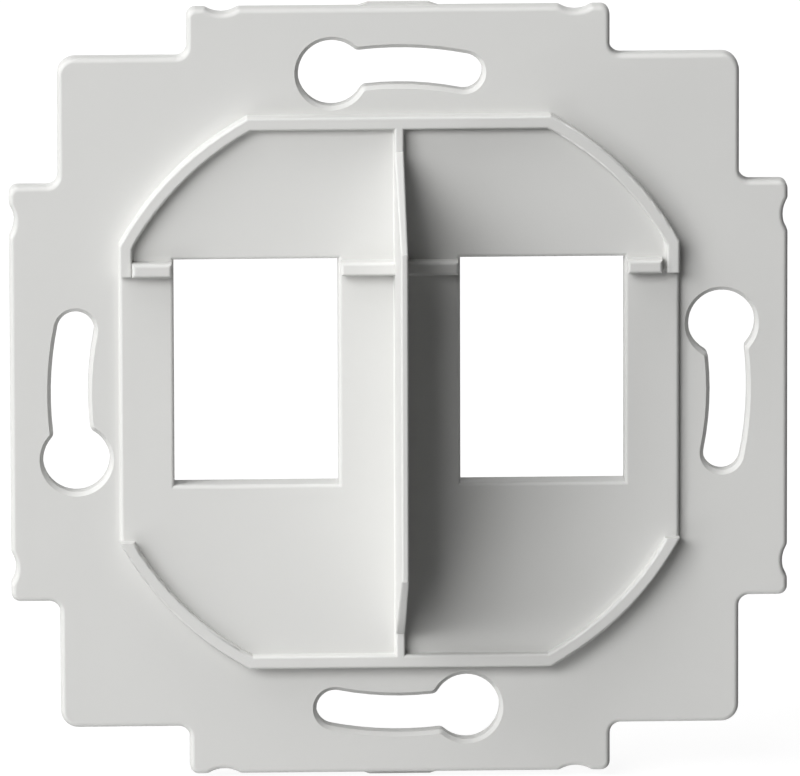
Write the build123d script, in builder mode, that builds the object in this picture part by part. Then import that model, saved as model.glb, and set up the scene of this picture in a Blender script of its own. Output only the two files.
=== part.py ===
from build123d import *
import os
from math import cos, hypot, isclose, radians, sin

# Mounting frame for two data sockets, moulded in one piece.
# A stepped plate lies against the wall and is held by screws through four keyholes.
# A raised platform in its middle has two socket windows, a low rim above and below,
# short ledges level with the windows' tops, and a tall thin divider between the windows.
#
# +Z is up and the front faces -Y. The flat wall side lies on y = 0 and the origin is its centre.
# All sizes are in millimetres, and heights of raised features are counted from the plate's front.

os.makedirs("parts", exist_ok=True)

# Plate
plate_reach = 71.0            # tip to tip of the arms, across and up
arm_length = 4.45             # how far the arms stand out of the square between them
arm_width = 38.5
plate_thickness = 2.0
arm_corner_radius = 0.8
square_corner_radius = 1.6
inner_corner_radius = 1.0
plate_edge_radius = 0.45      # rounding of the outline's front edge

# Notches, two in the end of each arm
notch_width = 3.0
notch_depth = 0.45
notch_inset = 3.15            # from the arm's corner to the middle of the notch
notch_lip_radius = 0.6

# Pips, one in the middle of the upper and one of the lower arm's end
pip_root_width = 7.3
pip_tip_width = 5.5
pip_height = 0.3
pip_thickness = 1.0

# Keyholes, one in each arm
screw_inset = 5.4             # from the arm's end to the circle on which the screws lie
keyhole_count = 4
screw_head_hole = 6.1
screw_slot_width = 3.4
round_end_angle = 11.66       # degrees from the arm's middle, anticlockwise
slot_end_angle = 11.4         # degrees from the arm's middle, clockwise
neck_radius = 0.7
keyhole_bevel = 0.35          # of the front edge

# Platform, a disc with four flats
platform_clearance = 0.87     # from the keyholes' round ends to the flats
platform_bulge = 3.5          # how far the disc stands out of the flats
platform_rise = 0.17          # middle of the platform above the middle of the plate
platform_height = 0.7
platform_edge_radius = 0.35

# Windows
window_width = 15.0
window_height = 20.9
window_margin = 5.0           # from the platform's side to the window beside it
window_rise = 2.05            # middle of the windows above the middle of the plate
window_edge_radius = 0.35

# Rim, along the platform's edge above and below
rim_width = 1.2
rim_height = 1.8
rim_end_drop = 5.15           # from the windows' lower edge to the ends of the lower rim
rim_edge_radius = 0.25

# Ledges, beside the windows and between them
ledge_width = 1.25
ledge_height = 2.4
ledge_drop = 0.1              # below the windows' top edge
ledge_setback = 0.2           # from the windows' sides
ledge_rim_gap = 0.4           # at the right-hand end, the left-hand end joins the rim
ledge_edge_radius = 0.3

# Divider
divider_height = 14.5
divider_low_run = 2.0         # from the rim to the foot of a slope
divider_slope_run = 7.3
divider_crest_width = 0.66
divider_root_width = 0.86
divider_root_radius = 0.15
divider_edge_radius = 0.2

# Places that follow from the sizes
arm_end = plate_reach / 2
arm_side = arm_width / 2
square_side = arm_end - arm_length
notch_place = arm_side - notch_inset
notch_radius = (notch_width ** 2 / 4 + notch_depth ** 2) / (2 * notch_depth)
screw_radius = arm_end - screw_inset
platform_side = screw_radius * cos(radians(round_end_angle)) - screw_head_hole / 2 - platform_clearance
window_middle = platform_side - window_margin - window_width / 2
window_top = window_rise + window_height / 2
window_bottom = window_rise - window_height / 2
ledge_top = window_top - ledge_drop
ledge_bottom = ledge_top - ledge_width
ledge_middle = (ledge_top + ledge_bottom) / 2
ledge_left_reach = platform_side - rim_width
ledge_right_reach = ledge_left_reach - ledge_rim_gap
upper_rim_end = ledge_bottom
lower_rim_end = window_bottom - rim_end_drop
rim_middle = platform_side - rim_width / 2
divider_foot = platform_side - rim_width - divider_low_run
divider_crest = divider_foot - divider_slope_run
divider_root_reach = divider_root_width / 2 + 2 * divider_root_radius
plate_front = -plate_thickness
platform_front = plate_front - platform_height
rim_front = plate_front - rim_height
divider_front = plate_front - divider_height
front_of_plate = Plane.XZ.offset(plate_thickness)
front_of_platform = Plane.XZ.offset(plate_thickness + platform_height)
tolerance = 0.001             # within which a corner or an edge is in its place


def lies_at(vertex, first, second):
    """Say whether a corner is this far from one centre line of the plate and that far from the other."""
    near, far = sorted((abs(vertex.X), abs(vertex.Y)))
    close = isclose(near, min(first, second), abs_tol=tolerance)
    return close and isclose(far, max(first, second), abs_tol=tolerance)


def front_edges(moulding, level):
    """Give the edges of a moulding that lie in the plane y = level."""
    return moulding.edges().filter_by_position(Axis.Y, level - tolerance, level + tolerance)


def platform_outline(inset):
    """Draw the platform's outline, a disc with four flats, this far inside its edge."""
    flats = 2 * (platform_side - inset)
    with BuildSketch() as outline:
        with Locations((0, platform_rise)):
            Circle(platform_side + platform_bulge - inset)
            Rectangle(flats, flats, mode=Mode.INTERSECT)
    return outline.sketch


# Keyhole, drawn across the arm that points along +X
round_end = (
    screw_radius * cos(radians(round_end_angle)),
    screw_radius * sin(radians(round_end_angle)),
)
slot_end = (
    screw_radius * cos(radians(slot_end_angle)),
    -screw_radius * sin(radians(slot_end_angle)),
)
with BuildSketch() as keyhole:
    with BuildLine(mode=Mode.PRIVATE) as screw_path:
        CenterArc((0, 0), screw_radius, -slot_end_angle, slot_end_angle + round_end_angle)
    SlotArc(screw_path.edge(), screw_slot_width)
    with Locations(round_end):
        Circle(screw_head_hole / 2)
    on_round_end = keyhole.vertices().filter_by(
        lambda corner: isclose(
            hypot(corner.X - round_end[0], corner.Y - round_end[1]), screw_head_hole / 2, abs_tol=tolerance
        )
    )
    fillet(on_round_end.sort_by_distance(slot_end)[:2], neck_radius)


# Divider, a side view cut to a tapered section with rounded roots and long edges
with BuildPart() as divider:
    with BuildSketch(Plane.YZ) as side_view:
        with BuildLine():
            Polyline(
                (plate_front, rim_middle),
                (rim_front, rim_middle),
                (rim_front, divider_foot),
                (divider_front, divider_crest),
                (divider_front, -divider_crest),
                (rim_front, -divider_foot),
                (rim_front, -rim_middle),
                (plate_front, -rim_middle),
                close=True,
            )
        make_face()
    extrude(amount=divider_root_reach, both=True)
    with BuildSketch(Plane.XY) as section:
        with BuildLine():
            Polyline(
                (divider_root_reach, plate_front),
                (divider_root_reach, platform_front),
                (divider_root_width / 2, platform_front),
                (divider_crest_width / 2, divider_front),
                (-divider_crest_width / 2, divider_front),
                (-divider_root_width / 2, platform_front),
                (-divider_root_reach, platform_front),
                (-divider_root_reach, plate_front),
                close=True,
            )
        make_face()
        roots = section.vertices().filter_by(
            lambda corner: lies_at(corner, divider_root_width / 2, -platform_front)
        )
        fillet(roots, divider_root_radius)
    extrude(amount=rim_middle, both=True, mode=Mode.INTERSECT)
    long_edges = divider.edges().filter_by(
        lambda edge: abs(edge.center().X) > tolerance
        and abs(edge.center().Z) < rim_middle - tolerance
        and edge.center().Y < rim_front + tolerance
    )
    fillet(long_edges, divider_edge_radius)


# The whole frame is one moulding
with BuildPart() as mounting_frame:
    # Plate, with its notches and keyholes
    with BuildSketch(Plane.XZ) as plate_outline:
        RectangleRounded(plate_reach, arm_width, arm_corner_radius)
        RectangleRounded(arm_width, plate_reach, arm_corner_radius)
        RectangleRounded(2 * square_side, 2 * square_side, square_corner_radius)
        inner_corners = plate_outline.vertices().filter_by(
            lambda corner: lies_at(corner, square_side, arm_side)
        )
        fillet(inner_corners, inner_corner_radius)
        with PolarLocations(0, 4):
            with Locations(
                (arm_end - notch_depth + notch_radius, notch_place),
                (arm_end - notch_depth + notch_radius, -notch_place),
            ):
                Circle(notch_radius, mode=Mode.SUBTRACT)
        notch_lips = plate_outline.vertices().filter_by(
            lambda corner: lies_at(corner, arm_end, notch_place + notch_width / 2)
            or lies_at(corner, arm_end, notch_place - notch_width / 2)
        )
        fillet(notch_lips, notch_lip_radius)
    extrude(amount=plate_thickness)
    fillet(mounting_frame.faces().sort_by(Axis.Y)[0].edges(), plate_edge_radius)
    with BuildSketch(Plane.XZ):
        with PolarLocations(0, keyhole_count):
            add(keyhole.sketch)
    extrude(amount=plate_thickness, mode=Mode.SUBTRACT)
    keyhole_edges = mounting_frame.faces().sort_by(Axis.Y)[0].inner_wires().edges()
    chamfer(keyhole_edges, keyhole_bevel)

    # Pips, on the wall half of the plate's thickness
    with BuildSketch(Plane.XZ):
        with PolarLocations(0, 2, start_angle=90):
            Polygon(
                (arm_end, -pip_root_width / 2),
                (arm_end + pip_height, -pip_tip_width / 2),
                (arm_end + pip_height, pip_tip_width / 2),
                (arm_end, pip_root_width / 2),
                align=None,
            )
    extrude(amount=pip_thickness)

    # Platform with a rim all round it
    with BuildSketch(front_of_plate):
        add(platform_outline(0))
    extrude(amount=rim_height)
    with BuildSketch(front_of_platform):
        add(platform_outline(rim_width))
    extrude(amount=rim_height - platform_height, mode=Mode.SUBTRACT)
    fillet(mounting_frame.faces().sort_by(Axis.Y)[0].edges(), rim_edge_radius)

    # The rim is left out beside the windows, where the platform has a rounded edge
    with BuildSketch(front_of_platform):
        with Locations((0, (upper_rim_end + lower_rim_end) / 2)):
            Rectangle(2 * (platform_side + platform_bulge), upper_rim_end - lower_rim_end)
    extrude(amount=rim_height, mode=Mode.SUBTRACT)
    fillet(front_edges(mounting_frame, platform_front).filter_by(Axis.Z), platform_edge_radius)

    # Windows, right through the platform and the plate
    with BuildSketch(Plane.XZ):
        with Locations((0, window_rise)):
            with GridLocations(2 * window_middle, 1, 2, 1):
                Rectangle(window_width, window_height)
    extrude(amount=plate_thickness + platform_height, mode=Mode.SUBTRACT)
    window_edges = front_edges(mounting_frame, platform_front).filter_by(
        lambda edge: abs(edge.center().X) < window_middle + window_width / 2 + tolerance
        and abs(edge.center().Z - window_rise) < window_height / 2 + tolerance
    )
    fillet(window_edges, window_edge_radius)

    # Ledges, in line with the ends of the upper rim
    with BuildSketch(front_of_plate):
        with Locations(((ledge_right_reach - ledge_left_reach) / 2, ledge_middle)):
            Rectangle(ledge_left_reach + ledge_right_reach, ledge_width)
        with Locations((0, ledge_middle)):
            with GridLocations(2 * window_middle, 1, 2, 1):
                Rectangle(window_width + 2 * ledge_setback, ledge_width, mode=Mode.SUBTRACT)
    extrude(amount=ledge_height)
    fillet(mounting_frame.faces().group_by(Axis.Y)[0].edges(), ledge_edge_radius)

    with Locations((0, 0, platform_rise)):
        add(divider.part)

mounting_frame.part.label = "mounting_frame"
export_step(mounting_frame.part, "parts/mounting_frame.step")
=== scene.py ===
"""Looks of a one-piece mounting frame for two data sockets.

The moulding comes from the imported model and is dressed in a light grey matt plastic. It stands
on a pale sweep that is lit from behind, large soft boxes light its front from above and from the
left, and the camera looks at the front a little from above and from the left. Lengths are in
metres unless named otherwise.
"""
import logging
from dataclasses import dataclass, field
from enum import Enum
from math import cos, radians, sin
from typing import Any

import bpy
import numpy as np
from mathutils import Matrix, Vector

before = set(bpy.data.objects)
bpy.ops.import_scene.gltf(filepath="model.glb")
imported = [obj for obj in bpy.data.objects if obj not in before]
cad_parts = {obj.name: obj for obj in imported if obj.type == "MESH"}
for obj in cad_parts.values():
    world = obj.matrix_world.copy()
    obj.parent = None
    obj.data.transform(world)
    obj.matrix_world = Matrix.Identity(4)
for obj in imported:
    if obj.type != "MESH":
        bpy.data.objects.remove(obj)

logging.basicConfig(level=logging.INFO, format="%(message)s")
LOG = logging.getLogger("mounting_frame")

MILLIMETRE = 0.001
PLATE_THICKNESS = 2.0 * MILLIMETRE
IMAGE_WIDTH = 800

# Curve that turns screen values into linear ones: a straight start, then a power
CURVE_START = 0.04045
START_SLOPE = 12.92
CURVE_OFFSET = 0.055
CURVE_POWER = 2.4


class Ray(Enum):
    """Kinds of ray that meet the studio as a plain white background."""

    CAMERA = "Is Camera Ray"
    GLOSSY = "Is Glossy Ray"
    TRANSMISSION = "Is Transmission Ray"


def linear(srgb: tuple[int, int, int]) -> tuple[float, float, float, float]:
    """Turn a colour of 8-bit screen values into the linear values that a shader takes.

    Args:
        srgb: Red, green and blue from 0 to 255.

    Returns:
        Linear red, green and blue, and an alpha of 1.
    """
    share = np.asarray(srgb, float) / 255.0
    power = ((share + CURVE_OFFSET) / (1.0 + CURVE_OFFSET)) ** CURVE_POWER
    curve = np.where(share <= CURVE_START, share / START_SLOPE, power)
    return (*(float(value) for value in curve), 1.0)


class NodeSheet:
    """The node tree of a material or of the world, with short calls for adding and joining nodes."""

    def __init__(self, owner: bpy.types.ID, output_kind: str = "ShaderNodeOutputMaterial") -> None:
        """Clear the owner's nodes and give it an output.

        Args:
            owner: The material or the world.
            output_kind: Blender's name for the kind of output node.
        """
        owner.use_nodes = True
        self.tree = owner.node_tree
        self.tree.nodes.clear()
        self.surface = self.add(output_kind).inputs["Surface"]

    def add(self, kind: str, **inputs: Any) -> bpy.types.Node:
        """Add a node and set its inputs.

        Args:
            kind: Blender's name for the kind of node.
            **inputs: Values by input name, with an underscore for each space.

        Returns:
            The new node.
        """
        node = self.tree.nodes.new(kind)
        for name, value in inputs.items():
            node.inputs[name.replace("_", " ")].default_value = value
        return node

    def join(self, source: bpy.types.NodeSocket, target: bpy.types.NodeSocket) -> None:
        """Link one socket to another."""
        self.tree.links.new(source, target)

    def direct_rays(self) -> bpy.types.NodeSocket:
        """Give a value that is 1 for camera, glossy and transmission rays, and 0 for others.

        Returns:
            The value's socket.
        """
        path = self.add("ShaderNodeLightPath")
        value = path.outputs[Ray.CAMERA.value]
        for ray in (Ray.GLOSSY, Ray.TRANSMISSION):
            either = self.add("ShaderNodeMath")
            either.operation = "MAXIMUM"
            self.join(value, either.inputs[0])
            self.join(path.outputs[ray.value], either.inputs[1])
            value = either.outputs["Value"]
        return value


@dataclass(frozen=True)
class MouldedPlastic:
    """Matt light grey thermoplastic with the fine even grain that a spark-eroded mould leaves."""

    colour: tuple[int, int, int] = (208, 208, 206)
    cloud_colour: tuple[int, int, int] = (205, 205, 203)
    cloud_scale: float = 90.0
    cloud_detail: float = 3.0
    grain_scale: float = 2600.0
    grain_detail: float = 4.0
    grain_roughness: float = 0.6
    grain_depth: float = 0.006 * MILLIMETRE
    ripple_scale: float = 260.0
    ripple_detail: float = 2.0
    ripple_depth: float = 0.02 * MILLIMETRE
    roughness_low: float = 0.46
    roughness_high: float = 0.58
    specular_level: float = 0.15

    def material(self, name: str) -> bpy.types.Material:
        """Build the plastic as a procedural material on Object coordinates.

        Args:
            name: Name of the material.

        Returns:
            The finished material.
        """
        material = bpy.data.materials.new(name)
        sheet = NodeSheet(material)
        place = sheet.add("ShaderNodeTexCoord").outputs["Object"]

        noise = "ShaderNodeTexNoise"
        cloud = sheet.add(noise, Scale=self.cloud_scale, Detail=self.cloud_detail)
        grain = sheet.add(
            noise,
            Scale=self.grain_scale,
            Detail=self.grain_detail,
            Roughness=self.grain_roughness,
        )
        ripple = sheet.add(noise, Scale=self.ripple_scale, Detail=self.ripple_detail)
        for texture in (cloud, grain, ripple):
            sheet.join(place, texture.inputs["Vector"])

        tint = sheet.add("ShaderNodeMix")
        tint.data_type = "RGBA"
        first, second = (socket for socket in tint.inputs if socket.type == "RGBA")
        first.default_value = linear(self.colour)
        second.default_value = linear(self.cloud_colour)
        mixed = next(socket for socket in tint.outputs if socket.type == "RGBA")
        sheet.join(cloud.outputs["Fac"], tint.inputs["Factor"])

        gloss = sheet.add("ShaderNodeMapRange")
        gloss.inputs["To Min"].default_value = self.roughness_low
        gloss.inputs["To Max"].default_value = self.roughness_high
        sheet.join(grain.outputs["Fac"], gloss.inputs["Value"])

        fine = sheet.add("ShaderNodeBump", Distance=self.grain_depth, Strength=1.0)
        sheet.join(grain.outputs["Fac"], fine.inputs["Height"])
        broad = sheet.add("ShaderNodeBump", Distance=self.ripple_depth, Strength=1.0)
        sheet.join(ripple.outputs["Fac"], broad.inputs["Height"])
        sheet.join(fine.outputs["Normal"], broad.inputs["Normal"])

        plastic = sheet.add("ShaderNodeBsdfPrincipled", Specular_IOR_Level=self.specular_level)
        sheet.join(mixed, plastic.inputs["Base Color"])
        sheet.join(gloss.outputs["Result"], plastic.inputs["Roughness"])
        sheet.join(broad.outputs["Normal"], plastic.inputs["Normal"])
        sheet.join(plastic.outputs["BSDF"], sheet.surface)
        return material


@dataclass(frozen=True)
class SweepPaint:
    """Translucent matt sheet, lit from behind, as on a light table.

    Its white glow meets camera, glossy and transmission rays alone. The glow brings the lit
    sheet to white and leaves a light shadow where the frame stands. The sheet is clear from its
    outer side, so that the frame's back can be seen.
    """

    colour: tuple[int, int, int] = (120, 120, 120)
    glow: float = 0.9

    def material(self, name: str) -> bpy.types.Material:
        """Build the paint.

        Args:
            name: Name of the material.

        Returns:
            The finished material.
        """
        material = bpy.data.materials.new(name)
        sheet = NodeSheet(material)
        strength = sheet.add("ShaderNodeMath")
        strength.operation = "MULTIPLY"
        strength.inputs[1].default_value = self.glow
        sheet.join(sheet.direct_rays(), strength.inputs[0])
        glow = sheet.add("ShaderNodeEmission")
        sheet.join(strength.outputs["Value"], glow.inputs["Strength"])
        paint = sheet.add("ShaderNodeBsdfDiffuse", Color=linear(self.colour))
        both = sheet.add("ShaderNodeAddShader")
        sheet.join(paint.outputs["BSDF"], both.inputs[0])
        sheet.join(glow.outputs["Emission"], both.inputs[1])
        side = sheet.add("ShaderNodeNewGeometry")
        clear = sheet.add("ShaderNodeBsdfTransparent")
        one_sided = sheet.add("ShaderNodeMixShader")
        sheet.join(side.outputs["Backfacing"], one_sided.inputs["Fac"])
        sheet.join(both.outputs["Shader"], one_sided.inputs[1])
        sheet.join(clear.outputs["BSDF"], one_sided.inputs[2])
        sheet.join(one_sided.outputs["Shader"], sheet.surface)
        return material


@dataclass
class Moulding:
    """The frame itself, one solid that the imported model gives."""

    node: str = "mounting_frame"
    slot: str = "moulding"
    finish: MouldedPlastic = field(default_factory=MouldedPlastic)

    def dress(self, nodes: dict[str, bpy.types.Object]) -> bpy.types.Object:
        """Give the moulding its plastic.

        Args:
            nodes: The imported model's objects by name.

        Returns:
            The dressed object.
        """
        moulding = nodes[self.node]
        moulding.data.materials.clear()
        moulding.data.materials.append(self.finish.material("light_grey_plastic"))
        LOG.info("%s: %d triangles, dressed", self.node, len(moulding.data.polygons))
        return moulding


@dataclass
class Sweep:
    """A pale floor that turns up into a backdrop behind the frame.

    It takes the frame's shadow but throws none, so the lamps below and behind it still reach the
    frame, as light does through a translucent sheet.
    """

    floor_level: float = -36.2 * MILLIMETRE
    front: float = -0.9
    back: float = 0.5
    height: float = 0.9
    half_width: float = 0.9
    bend_radius: float = 0.2
    bend_steps: int = 24
    finish: SweepPaint = field(default_factory=SweepPaint)

    def build(self) -> bpy.types.Object:
        """Build the sweep: a floor line, a quarter circle and a wall line, carried along X.

        Returns:
            The stage object.
        """
        turn = np.linspace(0.0, np.pi / 2, self.bend_steps)
        bend_y = self.back - self.bend_radius + self.bend_radius * np.sin(turn)
        bend_z = self.floor_level + self.bend_radius - self.bend_radius * np.cos(turn)
        profile_y = np.concatenate(([self.front], bend_y, [self.back]))
        profile_z = np.concatenate(([self.floor_level], bend_z, [self.floor_level + self.height]))
        across = np.array([-self.half_width, self.half_width])
        x, y = np.meshgrid(across, profile_y)
        z = np.repeat(profile_z[:, None], len(across), axis=1)
        points = np.stack((x, y, z), axis=-1).reshape(-1, 3)
        first_corner = np.arange(len(profile_y) - 1)[:, None] * len(across)
        round_a_face = np.array([0, 1, 3, 2])
        faces = (first_corner + round_a_face).tolist()
        mesh = bpy.data.meshes.new("sweep")
        mesh.from_pydata(points.tolist(), [], faces)
        mesh.shade_smooth()
        mesh.materials.append(self.finish.material("pale_paint"))
        sweep = bpy.data.objects.new("sweep", mesh)
        bpy.context.scene.collection.objects.link(sweep)
        sweep.visible_shadow = False
        LOG.info("sweep: %d faces", len(faces))
        return sweep


@dataclass(frozen=True)
class SoftBox:
    """A rectangular lamp that faces the middle of the frame, by default a large one far away.

    tilt is its angle from the frame's front axis and turn its angle round that axis, from
    straight up towards the camera's left, both in degrees.
    """

    name: str
    tilt: float
    turn: float
    power: float
    distance: float = 2.0
    width: float = 0.8
    height: float = 0.8

    @classmethod
    def near(cls, name: str, tilt: float, turn: float, power: float) -> "SoftBox":
        """Give a small box close to the frame, which lights its own side more than the other.

        Args:
            name: Name of the lamp.
            tilt: Angle from the frame's front axis, in degrees.
            turn: Angle round that axis, in degrees.
            power: Power in watts.

        Returns:
            The small box.
        """
        return cls(name, tilt, turn, power, distance=0.5, width=0.2, height=0.2)

    def direction(self) -> Vector:
        """Give the unit vector from the frame to the lamp."""
        tilt, turn = radians(self.tilt), radians(self.turn)
        return Vector((-sin(tilt) * sin(turn), -cos(tilt), sin(tilt) * cos(turn)))

    def build(self, target: Vector) -> bpy.types.Object:
        """Hang the lamp and turn it to the target.

        Args:
            target: The point that it faces.

        Returns:
            The lamp's object.
        """
        data = bpy.data.lights.new(self.name, "AREA")
        data.shape = "RECTANGLE"
        data.size = self.width
        data.size_y = self.height
        data.energy = self.power
        lamp = bpy.data.objects.new(self.name, data)
        lamp.location = target + self.direction() * self.distance
        lamp.rotation_euler = (-self.direction()).to_track_quat("-Z", "Y").to_euler()
        bpy.context.scene.collection.objects.link(lamp)
        return lamp


@dataclass
class Studio:
    """Lamps, and a world that is white where it is seen directly and lights nothing."""

    boxes: tuple[SoftBox, ...] = (
        SoftBox("top_box", tilt=84.0, turn=15.0, power=14.9),
        SoftBox("high_left_box", tilt=72.0, turn=40.0, power=12.0),
        SoftBox("left_box", tilt=52.0, turn=60.0, power=12.8),
        SoftBox("far_left_box", tilt=65.0, turn=75.0, power=4.4),
        SoftBox("front_high_box", tilt=35.0, turn=40.0, power=16.5),
        SoftBox.near("near_left_box", tilt=55.0, turn=75.0, power=0.23),
        SoftBox.near("near_low_box", tilt=45.0, turn=130.0, power=0.42),
        SoftBox.near("low_left_box", tilt=68.0, turn=118.0, power=0.6),
        SoftBox(
            "under_box", tilt=100.0, turn=180.0, power=4.0, distance=1.0, width=0.4, height=0.4
        ),
        SoftBox(
            "back_panel", tilt=180.0, turn=0.0, power=5.0, distance=0.6, width=1.4, height=1.2
        ),
    )

    def build(self, target: Vector) -> None:
        """Hang the lamps and set the world.

        Args:
            target: The point that the lamps face.
        """
        for box in self.boxes:
            box.build(target)
        world = bpy.data.worlds.new("studio")
        sheet = NodeSheet(world, "ShaderNodeOutputWorld")
        background = sheet.add("ShaderNodeBackground", Color=(1.0, 1.0, 1.0, 1.0))
        sheet.join(sheet.direct_rays(), background.inputs["Strength"])
        sheet.join(background.outputs["Background"], sheet.surface)
        bpy.context.scene.world = world
        LOG.info("studio: %d soft boxes", len(self.boxes))


@dataclass(frozen=True)
class ViewingCamera:
    """A camera with a long lens, a little above the frame and to its left."""

    distance: float = 1.5
    pixels_per_millimetre: float = 10.954
    pitch: float = 10.60
    yaw: float = 2.05
    roll: float = 0.146
    centre_right: float = 0.070 * MILLIMETRE
    centre_up: float = 0.330 * MILLIMETRE
    sensor_width_mm: float = 36.0
    clip_end: float = 20.0

    def build(self, target: Vector) -> bpy.types.Object:
        """Place the camera and make it the scene's own.

        Args:
            target: Middle of the plate's front. The picture's centre lies a little above
                and to the right of it.

        Returns:
            The camera's object.
        """
        pitch, yaw = radians(self.pitch), radians(self.yaw)
        back = Vector((-sin(yaw) * cos(pitch), -cos(yaw) * cos(pitch), sin(pitch)))
        right = Vector((cos(yaw), -sin(yaw), 0.0))
        up = back.cross(right)
        aim = target + right * self.centre_right + up * self.centre_up
        level = Matrix((right, up, back)).transposed()
        turned = level @ Matrix.Rotation(radians(-self.roll), 3, "Z")

        data = bpy.data.cameras.new("viewing_camera")
        data.sensor_fit = "HORIZONTAL"
        data.sensor_width = self.sensor_width_mm
        focal_pixels = self.pixels_per_millimetre * self.distance / MILLIMETRE
        data.lens = self.sensor_width_mm * focal_pixels / IMAGE_WIDTH
        data.clip_end = self.clip_end
        camera = bpy.data.objects.new("viewing_camera", data)
        camera.matrix_world = Matrix.Translation(aim + back * self.distance) @ turned.to_4x4()
        bpy.context.scene.collection.objects.link(camera)
        bpy.context.scene.camera = camera
        LOG.info("camera: %.0f mm lens", data.lens)
        return camera


def main() -> None:
    """Dress the frame and build the studio round it."""
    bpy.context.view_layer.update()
    scene = bpy.context.scene
    scene.view_settings.view_transform = "Standard"

    middle = Vector((0.0, -PLATE_THICKNESS, 0.0))
    ViewingCamera().build(middle)
    Moulding().dress(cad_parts)
    Sweep().build()
    Studio().build(middle)


if __name__ == "__main__":
    main()
